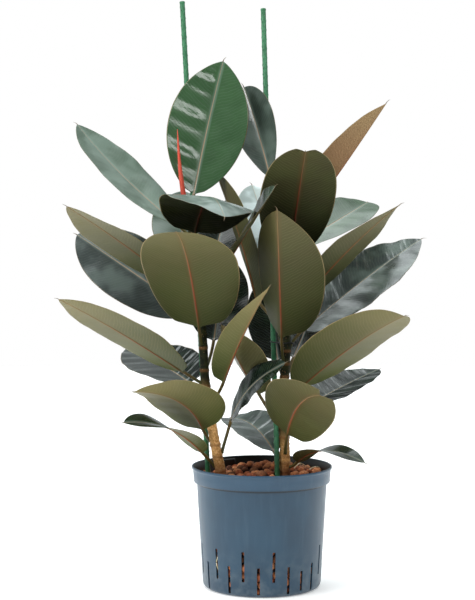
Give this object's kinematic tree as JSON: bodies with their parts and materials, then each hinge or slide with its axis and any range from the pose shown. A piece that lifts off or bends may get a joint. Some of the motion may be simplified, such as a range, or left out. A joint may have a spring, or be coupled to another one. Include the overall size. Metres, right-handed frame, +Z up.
{
  "type": "potted rubber plant",
  "caption": "Rubber plant with broad glossy leaves on slim staked stems, standing in a round slotted plastic culture pot filled with clay pebbles.",
  "frame": {"origin": "centre of the pot's flat underside", "axes": "+Z up, along the pot's axis; -Y is the front, the side seen in the picture; +X to its right"},
  "size_m": [0.5798, 0.3901, 0.9243],
  "materials": {
    "pot_plastic": "satin moulded slate-blue plastic",
    "fired_clay": "rough fired clay pebbles",
    "bark": "young ringed bark",
    "stake_coating": "green plastic coating over a steel core",
    "tie_wire": "black coated garden wire",
    "bud_sheath": "waxy coral-red sheath",
    "leaf": "glossy dark green above, olive below"
  },
  "bodies": {
    "root": {"pot": "pot_plastic", "clay_pebbles": "fired_clay", "left_stem": "bark", "right_stem": "bark", "left_stake": "stake_coating", "right_stake": "stake_coating", "left_tie": "tie_wire", "right_tie": "tie_wire", "left_bud_sheath": "bud_sheath", "right_bud_sheath": "bud_sheath", "left_leaf_01": "leaf", "left_leaf_02": "leaf", "left_leaf_03": "leaf", "left_leaf_04": "leaf", "left_leaf_05": "leaf", "left_leaf_06": "leaf", "left_leaf_07": "leaf", "left_leaf_08": "leaf", "left_leaf_09": "leaf", "left_leaf_10": "leaf", "left_leaf_11": "leaf", "left_leaf_12": "leaf", "left_leaf_13": "leaf", "left_leaf_14": "leaf", "left_leaf_15": "leaf", "left_leaf_16": "leaf", "right_leaf_01": "leaf", "right_leaf_02": "leaf", "right_leaf_03": "leaf", "right_leaf_04": "leaf", "right_leaf_05": "leaf", "right_leaf_06": "leaf", "right_leaf_07": "leaf", "right_leaf_08": "leaf", "right_leaf_09": "leaf", "right_leaf_10": "leaf", "right_leaf_11": "leaf", "right_leaf_12": "leaf", "right_leaf_13": "leaf", "right_leaf_14": "leaf", "right_leaf_15": "leaf", "right_leaf_16": "leaf", "right_leaf_17": "leaf"}
  },
  "joints": []
}
